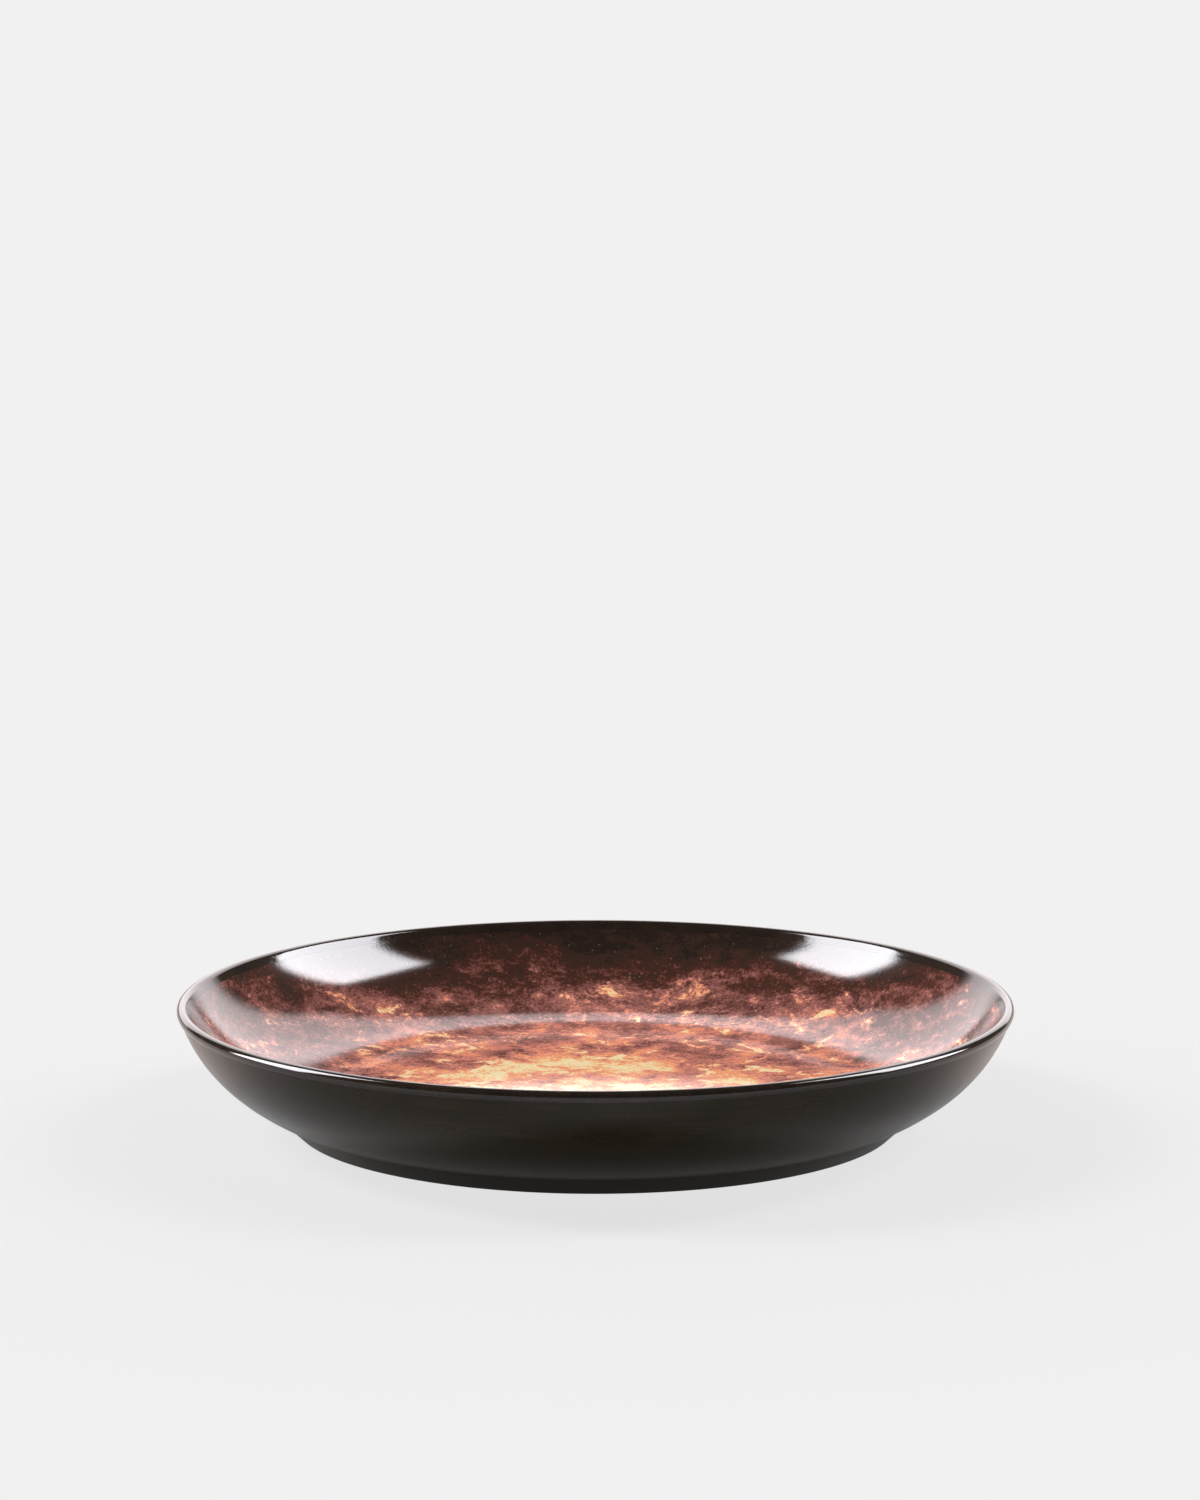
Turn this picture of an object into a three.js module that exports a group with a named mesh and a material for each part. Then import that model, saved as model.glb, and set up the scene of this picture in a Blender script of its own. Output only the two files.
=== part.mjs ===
// A round soup plate in millimetres, +Z up, standing on the plane z = 0 with its axis on Z.
// Every piece is turned about Z, from the clay body outwards to its glaze coats.
import * as THREE from "three";

// Finished outside sizes
const RIM_DIAMETER = 235;
const PLATE_HEIGHT = 35.5;

// Fired clay wall: a curve that rises from the foot, then a straight brim that ends in the round of the lip
const WALL_THICKNESS = 2;
const WALL_REACH = 27.5;
const WALL_FOOT_SLOPE_DEG = 24.8;
const WALL_FULLNESS = 0.358;
const BRIM_LENGTH = 3.7;
const BRIM_SLOPE_DEG = 66.8;

// Well: a flat floor that turns up into the inner face of the wall, which meets the lip at a lower slope
const FLOOR_THICKNESS = 5;
const WELL_REACH = 46;
const WELL_FULLNESS = 0.37;
const WELL_BRIM_SLOPE_DEG = 56;

// Foot ring and the recess inside it
const FOOT_HEIGHT = 5.8;
const FOOT_COVE_RADIUS = 0.8;
const FOOT_OUTER_SLOPE_DEG = 43;
const FOOT_INNER_SLOPE_DEG = 62;
const FOOT_LAND_WIDTH = 3.2;
const FOOT_EDGE_RADIUS = 0.6;
const RECESS_DEPTH = 4.4;
const RECESS_COVE_RADIUS = 2;

// Coats, with the clearance that keeps neighbouring coats from cutting into each other
const COAT_CLEARANCE = 0.02;
const DECORATION_THICKNESS = 0.3;
const INNER_GLAZE_THICKNESS = 0.3;
const OUTER_GLAZE_THICKNESS = 0.3;
const BASE_GLAZE_THICKNESS = 0.3;

// How far the gloss band runs past the round of the lip, and where the satin coats stop above the foot edge
const RIM_RUN_OUTSIDE = 0.8;
const RIM_RUN_INSIDE = 2;
const FOOT_GLAZE_STOP = 0.4;

// Facets round the axis and along each arc of the outline
const SEGMENTS = 48;
const INNER_WALL_STEPS = 9;
const OUTER_WALL_STEPS = 7;
const LIP_INSIDE_STEPS = 3;
const LIP_TOP_STEPS = 4;
const LIP_OUTSIDE_STEPS = 1;
const EDGE_STEPS = 2;

// Slopes as angles from the level
const BRIM_SLOPE = THREE.MathUtils.degToRad(BRIM_SLOPE_DEG);
const WELL_BRIM_SLOPE = THREE.MathUtils.degToRad(WELL_BRIM_SLOPE_DEG);
const WALL_FOOT_SLOPE = THREE.MathUtils.degToRad(WALL_FOOT_SLOPE_DEG);
const FOOT_OUTER_SLOPE = THREE.MathUtils.degToRad(FOOT_OUTER_SLOPE_DEG);
const FOOT_INNER_SLOPE = THREE.MathUtils.degToRad(FOOT_INNER_SLOPE_DEG);

// Heights of the coat faces above the clay
const DECORATION_TOP = COAT_CLEARANCE + DECORATION_THICKNESS;
const INNER_GLAZE_FOOT = DECORATION_TOP + COAT_CLEARANCE;
const INNER_GLAZE_TOP = INNER_GLAZE_FOOT + INNER_GLAZE_THICKNESS;
const OUTER_GLAZE_TOP = COAT_CLEARANCE + OUTER_GLAZE_THICKNESS;
const BASE_GLAZE_TOP = COAT_CLEARANCE + BASE_GLAZE_THICKNESS;

// Radius and height of a point that lies a distance from a centre, square to a face of the given slope
function offset(centre, distance, slope) {
  const r = centre.x + distance * Math.sin(slope);
  const z = centre.y - distance * Math.cos(slope);
  return new THREE.Vector2(r, z);
}

// Points of an arc whose faces turn from one slope to another; a negative radius makes it hollow outwards
function arc(centre, radius, fromSlope, toSlope, steps) {
  const points = [];
  for (let i = 0; i <= steps; i++) {
    points.push(offset(centre, radius, THREE.MathUtils.lerp(fromSlope, toSlope, i / steps)));
  }
  return points;
}

// Smooth curve between two points, leaving the first and reaching the second along the given slopes
function blend(from, fromSlope, to, toSlope, fullness) {
  const pull = fullness * from.distanceTo(to);
  const side = Math.sign(to.x - from.x);
  const leave = new THREE.Vector2(Math.cos(fromSlope), Math.sin(fromSlope)).multiplyScalar(side * pull);
  const reach = new THREE.Vector2(Math.cos(toSlope), Math.sin(toSlope)).multiplyScalar(side * pull);
  return new THREE.CubicBezierCurve(from, from.clone().add(leave), to.clone().sub(reach), to);
}

// Points of a curve, each set off to the left of its run by a distance
function besideCurve(curve, distance, steps) {
  const points = [];
  for (let i = 0; i <= steps; i++) {
    const run = curve.getTangent(i / steps);
    const aside = new THREE.Vector2(-run.y, run.x);
    points.push(curve.getPoint(i / steps).addScaledVector(aside, distance));
  }
  return points;
}

// Centre of a round of the given radius at a height, touching a sloping line through a point
function roundOnLine(point, slope, radius, height) {
  const touchHeight = height - radius * Math.cos(slope);
  const touchRadius = point.x - (point.y - touchHeight) / Math.tan(slope);
  return new THREE.Vector2(touchRadius - radius * Math.sin(slope), height);
}

// Round of the lip, over the straight brim
const lipRadius = WALL_THICKNESS / 2;
const lipCentre = new THREE.Vector2(
  RIM_DIAMETER / 2 - INNER_GLAZE_TOP - lipRadius,
  PLATE_HEIGHT - INNER_GLAZE_TOP - lipRadius,
);

// Point of the brim at a run below the lip, on its outer side where the distance is positive, else inside
function onBrim(distance, run) {
  const slope = distance > 0 ? BRIM_SLOPE : WELL_BRIM_SLOPE;
  const down = new THREE.Vector2(-Math.cos(slope), -Math.sin(slope));
  return offset(lipCentre, distance, slope).addScaledVector(down, run);
}

// Outer face of the wall down to the foot, and the inner face from the well floor up
const floorHeight = RECESS_DEPTH + FLOOR_THICKNESS;
const wallFoot = new THREE.Vector2(RIM_DIAMETER / 2 - WALL_REACH, FOOT_HEIGHT);
const floorEdge = new THREE.Vector2(RIM_DIAMETER / 2 - WELL_REACH, floorHeight);
const outerBrimEnd = onBrim(lipRadius, BRIM_LENGTH);
const innerBrimEnd = onBrim(-lipRadius, BRIM_LENGTH);
const outerWall = blend(outerBrimEnd, BRIM_SLOPE, wallFoot, WALL_FOOT_SLOPE, WALL_FULLNESS);
const innerWall = blend(floorEdge, 0, innerBrimEnd, WELL_BRIM_SLOPE, WELL_FULLNESS);

// Foot ring: a small cove under the wall, a sloping face, a flat land and the recess inside it
const coveCentre = offset(wallFoot, FOOT_COVE_RADIUS, WALL_FOOT_SLOPE);
const coveEnd = offset(coveCentre, -FOOT_COVE_RADIUS, FOOT_OUTER_SLOPE);
const outerEdge = roundOnLine(coveEnd, FOOT_OUTER_SLOPE, FOOT_EDGE_RADIUS, FOOT_EDGE_RADIUS);
const innerEdge = new THREE.Vector2(outerEdge.x - FOOT_LAND_WIDTH, FOOT_EDGE_RADIUS);
const innerFace = offset(innerEdge, FOOT_EDGE_RADIUS, -FOOT_INNER_SLOPE);
const recessCove = roundOnLine(
  innerFace,
  -FOOT_INNER_SLOPE,
  -RECESS_COVE_RADIUS,
  RECESS_DEPTH - RECESS_COVE_RADIUS,
);

// Runs below the lip at which the outside and inside coats start, just past the gloss band
const coatRunOutside = RIM_RUN_OUTSIDE + COAT_CLEARANCE;
const coatRunInside = RIM_RUN_INSIDE + COAT_CLEARANCE;

// Outline of the inner face at a height above the clay, from the axis out to a run below the lip
function insideLine(level, endRun) {
  return [
    new THREE.Vector2(0, floorHeight + level),
    ...besideCurve(innerWall, level, INNER_WALL_STEPS),
    onBrim(-(lipRadius + level), endRun),
  ];
}

// Outline over the lip at a height above the clay, from the inside end of the gloss band to its outside end
function lipLine(level) {
  const round = lipRadius + level;
  return [
    onBrim(-round, RIM_RUN_INSIDE),
    ...arc(lipCentre, round, WELL_BRIM_SLOPE + Math.PI, Math.PI, LIP_INSIDE_STEPS),
    ...arc(lipCentre, round, Math.PI, Math.PI / 2, LIP_TOP_STEPS).slice(1),
    ...arc(lipCentre, round, Math.PI / 2, BRIM_SLOPE, LIP_OUTSIDE_STEPS).slice(1),
    onBrim(round, RIM_RUN_OUTSIDE),
  ];
}

// Outline of the outer face at a height above the clay, from a run below the lip down to the foot edge
function outsideLine(level, startRun) {
  return [
    onBrim(lipRadius + level, startRun),
    ...besideCurve(outerWall, level, OUTER_WALL_STEPS),
    ...arc(coveCentre, level - FOOT_COVE_RADIUS, WALL_FOOT_SLOPE, FOOT_OUTER_SLOPE, EDGE_STEPS).slice(1),
  ];
}

// Point of the outer foot face at a height above the clay, where the satin coat stops
function footStop(level) {
  const edge = offset(outerEdge, FOOT_EDGE_RADIUS + level, FOOT_OUTER_SLOPE);
  const rise = new THREE.Vector2(Math.cos(FOOT_OUTER_SLOPE), Math.sin(FOOT_OUTER_SLOPE));
  return edge.addScaledVector(rise, FOOT_GLAZE_STOP);
}

// Outline of the underside at a depth below the clay, from the axis out to the foot's inner face
function baseLine(level) {
  const edge = offset(innerEdge, FOOT_EDGE_RADIUS + level, -FOOT_INNER_SLOPE);
  const rise = new THREE.Vector2(-Math.cos(FOOT_INNER_SLOPE), Math.sin(FOOT_INNER_SLOPE));
  return [
    new THREE.Vector2(0, RECESS_DEPTH - level),
    ...arc(recessCove, level - RECESS_COVE_RADIUS, 0, -FOOT_INNER_SLOPE, EDGE_STEPS),
    edge.addScaledVector(rise, FOOT_GLAZE_STOP),
  ];
}

// A named solid turned about Z from a section that runs out over the inner face and back under the outer one
function turned(name, section, colour, roughness) {
  const geometry = new THREE.LatheGeometry(section.reverse(), SEGMENTS);
  geometry.rotateX(Math.PI / 2);
  const material = new THREE.MeshStandardMaterial({ color: colour, roughness, metalness: 0 });
  const mesh = new THREE.Mesh(geometry, material);
  mesh.name = name;
  return mesh;
}

// Section of a coat between its outer face and its face against the layer below
function coat(outer, inner) {
  return [...outer, ...inner.reverse()];
}

// Section closed on its own first point, for a coat that stays clear of the axis
function ring(section) {
  return [...section, section[0]];
}

const bodySection = [
  ...insideLine(0, RIM_RUN_INSIDE),
  ...lipLine(0).slice(1),
  ...outsideLine(0, RIM_RUN_OUTSIDE).slice(1),
  ...arc(outerEdge, FOOT_EDGE_RADIUS, FOOT_OUTER_SLOPE, 0, EDGE_STEPS),
  ...arc(innerEdge, FOOT_EDGE_RADIUS, 0, -FOOT_INNER_SLOPE, EDGE_STEPS),
  ...baseLine(0).reverse(),
];
const outerGlazeSection = coat(
  [...outsideLine(OUTER_GLAZE_TOP, coatRunOutside), footStop(OUTER_GLAZE_TOP)],
  [...outsideLine(COAT_CLEARANCE, coatRunOutside), footStop(COAT_CLEARANCE)],
);
const decorationSection = coat(
  insideLine(DECORATION_TOP, coatRunInside),
  insideLine(COAT_CLEARANCE, coatRunInside),
);
const innerGlazeSection = coat(
  insideLine(INNER_GLAZE_TOP, coatRunInside),
  insideLine(INNER_GLAZE_FOOT, coatRunInside),
);
const rimGlazeSection = coat(lipLine(INNER_GLAZE_TOP), lipLine(COAT_CLEARANCE));
const baseGlazeSection = coat(baseLine(COAT_CLEARANCE), baseLine(BASE_GLAZE_TOP));

const plate = new THREE.Group();
plate.name = "soup_plate";
plate.add(
  turned("body", bodySection, 0x3b322c, 0.8),
  turned("outer_glaze", ring(outerGlazeSection), 0x2a2521, 0.42),
  turned("base_glaze", baseGlazeSection, 0x2a2521, 0.5),
  turned("rim_glaze", ring(rimGlazeSection), 0x17120e, 0.12),
  turned("decoration", decorationSection, 0x7d3a26, 0.6),
  turned("inner_glaze", innerGlazeSection, 0x8a4229, 0.1),
);

export default plate;
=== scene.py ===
"""A rimless stoneware soup plate: a turned clay body under satin, gloss and mottled glaze coats."""

import logging
import math
from abc import ABC, abstractmethod
from collections.abc import Sequence
from dataclasses import dataclass, field
from enum import Enum
from typing import ClassVar

import bmesh
import bpy
from mathutils import Matrix, Vector


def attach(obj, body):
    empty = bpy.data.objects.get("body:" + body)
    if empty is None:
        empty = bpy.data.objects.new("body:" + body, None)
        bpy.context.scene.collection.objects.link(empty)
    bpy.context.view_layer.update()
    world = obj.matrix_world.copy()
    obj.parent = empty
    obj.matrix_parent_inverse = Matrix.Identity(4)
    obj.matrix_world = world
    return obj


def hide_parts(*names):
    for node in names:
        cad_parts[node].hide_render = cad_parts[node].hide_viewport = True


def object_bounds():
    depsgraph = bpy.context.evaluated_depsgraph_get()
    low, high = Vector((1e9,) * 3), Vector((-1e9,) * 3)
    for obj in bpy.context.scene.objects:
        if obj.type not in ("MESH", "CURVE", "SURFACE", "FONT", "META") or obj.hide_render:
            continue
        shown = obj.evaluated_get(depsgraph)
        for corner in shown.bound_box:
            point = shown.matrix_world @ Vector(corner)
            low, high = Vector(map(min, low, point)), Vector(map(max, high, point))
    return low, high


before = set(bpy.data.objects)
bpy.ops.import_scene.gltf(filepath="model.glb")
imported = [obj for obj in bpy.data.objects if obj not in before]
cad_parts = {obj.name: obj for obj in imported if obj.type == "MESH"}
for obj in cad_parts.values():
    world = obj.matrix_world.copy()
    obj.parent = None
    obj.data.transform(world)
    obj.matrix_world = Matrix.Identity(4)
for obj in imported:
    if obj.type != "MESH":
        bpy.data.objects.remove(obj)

CAD_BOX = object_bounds()
BODY = "root"
MM = 0.001
FULL_TURN = 2 * math.pi
BACKGROUND = "#f1f1f1"

# Mean of a noise pattern, and factors that press a place flat onto the floor
NOISE_MIDDLE = 0.5
LEVEL = (1.0, 1.0, 0.0)

# Sockets of a colour Mix node, which repeats its socket names for every kind of data
MIX_FACTOR, MIX_A, MIX_B, MIX_RESULT = 0, 6, 7, 2

log = logging.getLogger("soup_plate")

Point = tuple[float, float]
Line = list[Point]
Span = tuple[float, float]
Stops = Sequence[tuple[float, str]]
Tree = bpy.types.NodeTree
Node = bpy.types.Node
Socket = bpy.types.NodeSocket


def linear(colour: str) -> tuple[float, float, float, float]:
    """Turn an sRGB hex colour into linear values.

    Args:
        colour: Colour as "#rrggbb".

    Returns:
        Linear red, green, blue and an alpha of 1.
    """
    parts = [int(colour[i:i + 2], 16) / 255 for i in (1, 3, 5)]
    lit = [c / 12.92 if c <= 0.04045 else ((c + 0.055) / 1.055) ** 2.4 for c in parts]
    return (lit[0], lit[1], lit[2], 1.0)


def per_metre(size: float) -> float:
    """Pattern scale on Object coordinates for features of a size in millimetres."""
    return 1 / (size * MM)


def add_node(
    tree: Tree,
    kind: str,
    inputs: dict[str | int, object] | None = None,
    stops: Stops = (),
    **settings: object,
) -> Node:
    """Add a node with its settings, values and links.

    Args:
        tree: Tree that takes the node.
        kind: Blender's type name of the node.
        inputs: What each input gets, keyed by the input's name or number: a value, an output socket, or a
            node whose first output is linked.
        stops: Places and hex colours of a colour ramp.
        **settings: Attributes set on the node before its inputs.

    Returns:
        The new node.
    """
    node = tree.nodes.new(kind)
    for name, value in settings.items():
        setattr(node, name, value)
    for number, (place, colour) in enumerate(stops):
        elements = node.color_ramp.elements
        element = elements[number] if number < len(elements) else elements.new(place)
        element.position = place
        element.color = linear(colour)
    for key, value in (inputs or {}).items():
        source = value.outputs[0] if isinstance(value, Node) else value
        if isinstance(source, Socket):
            tree.links.new(source, node.inputs[key])
        else:
            node.inputs[key].default_value = source
    return node


def blank_material(name: str) -> bpy.types.Material:
    """Make a material with an empty node tree.

    Args:
        name: Name of the material.

    Returns:
        The material, ready for its nodes.
    """
    made = bpy.data.materials.new(name)
    made.use_nodes = True
    made.node_tree.nodes.clear()
    return made


def put_in_scene(name: str, data: bpy.types.ID) -> bpy.types.Object:
    """Make an object at the origin and link it to the scene.

    Args:
        name: Name of the object.
        data: Its mesh or camera.

    Returns:
        The object.
    """
    made = bpy.data.objects.new(name, data)
    bpy.context.scene.collection.objects.link(made)
    return made


# Outline of the plate


def step_off(centre: Point, distance: float, slope: float) -> Point:
    """Step from a point, square to a face of the given slope.

    Args:
        centre: Radius and height of the start.
        distance: Length of the step, towards the outside of a face that looks down and out.
        slope: Angle of the face from the level, in radians.

    Returns:
        Radius and height of the end.
    """
    return (centre[0] + distance * math.sin(slope), centre[1] - distance * math.cos(slope))


def step_along(start: Point, distance: float, slope: float) -> Point:
    """Step from a point along a face of the given slope.

    Args:
        start: Radius and height of the start.
        distance: Length of the step, outwards where it is positive.
        slope: Angle of the face from the level, in radians.

    Returns:
        Radius and height of the end.
    """
    return (start[0] + distance * math.cos(slope), start[1] + distance * math.sin(slope))


def arc_line(centre: Point, radius: float, start: float, end: float, steps: int) -> Line:
    """Points of an arc whose faces turn from one slope to another.

    Args:
        centre: Radius and height of the arc's centre.
        radius: Radius of the arc, negative where it is hollow outwards.
        start: First slope in radians.
        end: Last slope in radians.
        steps: Number of steps between them.

    Returns:
        The points in order, both ends included.
    """
    return [step_off(centre, radius, start + (end - start) * i / steps) for i in range(steps + 1)]


def rounded_corner(corner: Point, run: float, turn: float, radius: float, steps: int) -> Line:
    """Points of a quarter round in place of a square corner.

    Args:
        corner: The square corner.
        run: Direction of the line that reaches it, as an angle in radians.
        turn: +1 where the line then turns left, -1 where it turns right.
        radius: Radius of the round.
        steps: Number of steps.

    Returns:
        The points in the order of the run.
    """
    along = (math.cos(run), math.sin(run))
    aside = (-turn * along[1], turn * along[0])
    points = []
    for i in range(steps + 1):
        angle = math.pi / 2 * i / steps
        back = radius * (math.sin(angle) - 1)
        down = radius * (1 - math.cos(angle))
        points.append((
            corner[0] + along[0] * back + aside[0] * down,
            corner[1] + along[1] * back + aside[1] * down,
        ))
    return points


@dataclass(frozen=True)
class WallCurve:
    """A smooth curve between two points that leaves and arrives along given slopes."""

    start: Point
    start_slope: float
    end: Point
    end_slope: float
    fullness: float

    def _handles(self) -> tuple[Point, Point, Point, Point]:
        """Find the points that steer the curve.

        Returns:
            Its start, the two points that pull it, and its end.
        """
        pull = self.fullness * math.dist(self.start, self.end)
        pull = math.copysign(pull, self.end[0] - self.start[0])
        leave = step_along(self.start, pull, self.start_slope)
        reach = step_along(self.end, -pull, self.end_slope)
        return self.start, leave, reach, self.end

    def beside(self, distance: float, steps: int) -> Line:
        """Points set off to the left of the curve's run.

        Args:
            distance: How far aside they lie.
            steps: Number of steps along the curve.

        Returns:
            The points from start to end.
        """
        a, b, c, d = (Vector(p) for p in self._handles())
        points = []
        for i in range(steps + 1):
            t = i / steps
            s = 1 - t
            place = a * s**3 + b * (3 * s * s * t) + c * (3 * s * t * t) + d * t**3
            run = ((b - a) * (s * s) + (c - b) * (2 * s * t) + (d - c) * (t * t)).normalized()
            points.append((place.x - run.y * distance, place.y + run.x * distance))
        return points


@dataclass(frozen=True)
class PlateForm:
    """Sizes of the fired plate in millimetres and degrees, and the outlines that they give.

    Levels are heights above the clay, square to its face, so every coat follows the same outlines.
    """

    rim_diameter: float
    height: float
    wall: float = 2.0
    wall_reach: float = 27.5
    wall_foot_slope: float = 24.8
    wall_fullness: float = 0.358
    brim_length: float = 3.7
    brim_slope: float = 66.8
    floor_thickness: float = 5.0
    well_reach: float = 46.0
    well_fullness: float = 0.37
    well_brim_slope: float = 56.0
    foot_height: float = 5.8
    foot_cove: float = 0.8
    foot_outer_slope: float = 43.0
    foot_inner_slope: float = 62.0
    foot_land: float = 3.2
    foot_edge: float = 0.6
    recess_depth: float = 4.4
    recess_cove: float = 2.0
    clearance: float = 0.02
    coat: float = 0.3
    rim_run_outside: float = 0.8
    rim_run_inside: float = 2.0
    foot_glaze_stop: float = 0.4

    # Steps along the curves
    floor_rings: ClassVar[int] = 14
    wall_steps: ClassVar[int] = 48
    run_steps: ClassVar[int] = 4
    round_steps: ClassVar[int] = 8

    @property
    def first_level(self) -> float:
        """Level of the face of a single coat on its clearance."""
        return self.clearance + self.coat

    @property
    def top_level(self) -> float:
        """Level of the finished face inside and over the lip: two coats, each on its clearance."""
        return 2 * self.first_level

    @property
    def brim_angle(self) -> float:
        """Slope of the brim's outer face in radians."""
        return math.radians(self.brim_slope)

    @property
    def well_brim_angle(self) -> float:
        """Slope of the brim's inner face in radians."""
        return math.radians(self.well_brim_slope)

    @property
    def lip_centre(self) -> Point:
        """Centre of the lip's round."""
        inset = self.top_level + self.wall / 2
        return (self.rim_diameter / 2 - inset, self.height - inset)

    @property
    def floor_height(self) -> float:
        """Height of the clay floor of the well."""
        return self.recess_depth + self.floor_thickness

    @property
    def wall_foot(self) -> Point:
        """Lower end of the outer wall, where it meets the foot."""
        return (self.rim_diameter / 2 - self.wall_reach, self.foot_height)

    @property
    def outer_edge(self) -> Point:
        """Find the centre of the round at the foot's outer edge.

        Returns:
            Radius and height of the centre.
        """
        slope = math.radians(self.foot_outer_slope)
        cove = step_off(self.wall_foot, self.foot_cove, math.radians(self.wall_foot_slope))
        line = step_off(cove, -self.foot_cove, slope)
        return self._round_on_line(line, slope, self.foot_edge, self.foot_edge)

    @property
    def inner_edge(self) -> Point:
        """Centre of the round at the foot's inner edge."""
        return (self.outer_edge[0] - self.foot_land, self.foot_edge)

    @staticmethod
    def _round_on_line(point: Point, slope: float, radius: float, height: float) -> Point:
        """Find the centre of a round that touches a sloping line.

        Args:
            point: A point of the line.
            slope: The line's angle from the level, in radians.
            radius: Radius of the round, negative where it is hollow.
            height: Height of its centre.

        Returns:
            Radius and height of the centre.
        """
        touch_height = height - radius * math.cos(slope)
        touch_radius = point[0] - (point[1] - touch_height) / math.tan(slope)
        return (touch_radius - radius * math.sin(slope), height)

    def on_brim(self, aside: float, run: float) -> Point:
        """Find a point on one side of the brim.

        Args:
            aside: Distance from the lip's centre, on the outer side where it is positive.
            run: Distance below the lip's round.

        Returns:
            Radius and height of the point.
        """
        slope = self.brim_angle if aside > 0 else self.well_brim_angle
        return step_along(step_off(self.lip_centre, aside, slope), -run, slope)

    def brim_line(self, aside: float, start: float, end: float) -> Line:
        """Points along one face of the brim.

        Args:
            aside: Distance of the face from the lip's centre, as for a point.
            start: Distance of the first point below the lip's round.
            end: Distance of the last point below it.

        Returns:
            The points in order, both ends included.
        """
        steps = self.run_steps
        return [self.on_brim(aside, start + (end - start) * i / steps) for i in range(steps + 1)]

    def inside_line(self, level: float, stop: float) -> Line:
        """Outline of the inner face from the axis out to the brim.

        Args:
            level: Height above the clay.
            stop: Distance below the lip's round where the line ends.

        Returns:
            The points from the axis outwards.
        """
        edge = (self.rim_diameter / 2 - self.well_reach, self.floor_height)
        top = self.on_brim(-self.wall / 2, self.brim_length)
        wall = WallCurve(edge, 0.0, top, self.well_brim_angle, self.well_fullness)
        floor = [(edge[0] * i / self.floor_rings, edge[1] + level) for i in range(self.floor_rings)]
        brim = self.brim_line(-self.wall / 2 - level, self.brim_length, stop)
        return floor + wall.beside(level, self.wall_steps) + brim[1:]

    def lip_line(self, level: float, stop: float) -> Line:
        """Outline over the lip from the gloss band's inside end to its outside end.

        Args:
            level: Height above the clay.
            stop: Distance below the lip's round where the line ends outside.

        Returns:
            The points from the inside outwards.
        """
        half = self.wall / 2 + level
        line = self.brim_line(-half, self.rim_run_inside, 0.0)
        slopes = (self.well_brim_angle + math.pi, math.pi, math.pi / 2, self.brim_angle)
        for start, end in zip(slopes, slopes[1:]):
            line += arc_line(self.lip_centre, half, start, end, self.round_steps)[1:]
        return line + self.brim_line(half, 0.0, stop)[1:]

    def outside_line(self, level: float, start: float) -> Line:
        """Outline of the outer face from the brim down to the foot's outer face.

        Args:
            level: Height above the clay.
            start: Distance below the lip's round where the line begins.

        Returns:
            The points from the brim downwards.
        """
        foot_slope = math.radians(self.wall_foot_slope)
        top = self.on_brim(self.wall / 2, self.brim_length)
        wall = WallCurve(top, self.brim_angle, self.wall_foot, foot_slope, self.wall_fullness)
        brim = self.brim_line(self.wall / 2 + level, start, self.brim_length)
        cove = arc_line(
            step_off(self.wall_foot, self.foot_cove, foot_slope),
            level - self.foot_cove,
            foot_slope,
            math.radians(self.foot_outer_slope),
            self.round_steps,
        )
        return brim + wall.beside(level, self.wall_steps)[1:] + cove[1:]

    def foot_stop(self, level: float) -> Point:
        """Find where the satin coat stops on the foot's outer face.

        Args:
            level: Height above the clay.

        Returns:
            Radius and height of the end.
        """
        slope = math.radians(self.foot_outer_slope)
        edge = step_off(self.outer_edge, self.foot_edge + level, slope)
        return step_along(edge, self.foot_glaze_stop, slope)

    def base_line(self, level: float) -> Line:
        """Outline of the underside from the axis out to the foot's inner face.

        Args:
            level: Depth below the clay.

        Returns:
            The points from the axis outwards.
        """
        slope = -math.radians(self.foot_inner_slope)
        face = step_off(self.inner_edge, self.foot_edge, slope)
        cove = self._round_on_line(face, slope, -self.recess_cove, self.recess_depth - self.recess_cove)
        edge = step_off(self.inner_edge, self.foot_edge + level, slope)
        stop = step_along(edge, -self.foot_glaze_stop, slope)
        base = [(cove[0] * i / self.floor_rings, self.recess_depth - level) for i in range(self.floor_rings)]
        return base + arc_line(cove, level - self.recess_cove, 0.0, slope, self.round_steps) + [stop]


@dataclass(frozen=True)
class Section:
    """An outline that is turned about the axis, with the number of points on its shown face."""

    points: Line
    shown: int


# Finishes


def scattered_spots(tree: Tree, place: Socket, spacing: float, size: float) -> Node:
    """Add small round spots with soft edges.

    Args:
        tree: The material's tree.
        place: Object coordinates in metres.
        spacing: Distance between spots in millimetres.
        size: Width of a spot in millimetres.

    Returns:
        The node that masks the spots.
    """
    cells = add_node(tree, "ShaderNodeTexVoronoi", {"Vector": place, "Scale": per_metre(spacing)})
    edge = size / 2 / spacing
    return add_node(
        tree,
        "ShaderNodeMapRange",
        {"Value": cells.outputs["Distance"], "From Min": edge, "From Max": edge / 2},
    )


def uneven_face(tree: Tree, place: Socket, size: float, height: float, detail: float = 2.0) -> Node:
    """Add a slightly uneven surface.

    Args:
        tree: The material's tree.
        place: Object coordinates in metres.
        size: Width of its rises in millimetres.
        height: Their height in millimetres.
        detail: How much finer relief lies on them.

    Returns:
        The node that gives the surface's normal.
    """
    rises = add_node(
        tree, "ShaderNodeTexNoise", {"Vector": place, "Scale": per_metre(size), "Detail": detail}
    )
    return add_node(tree, "ShaderNodeBump", {"Height": rises, "Distance": height * MM})


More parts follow.
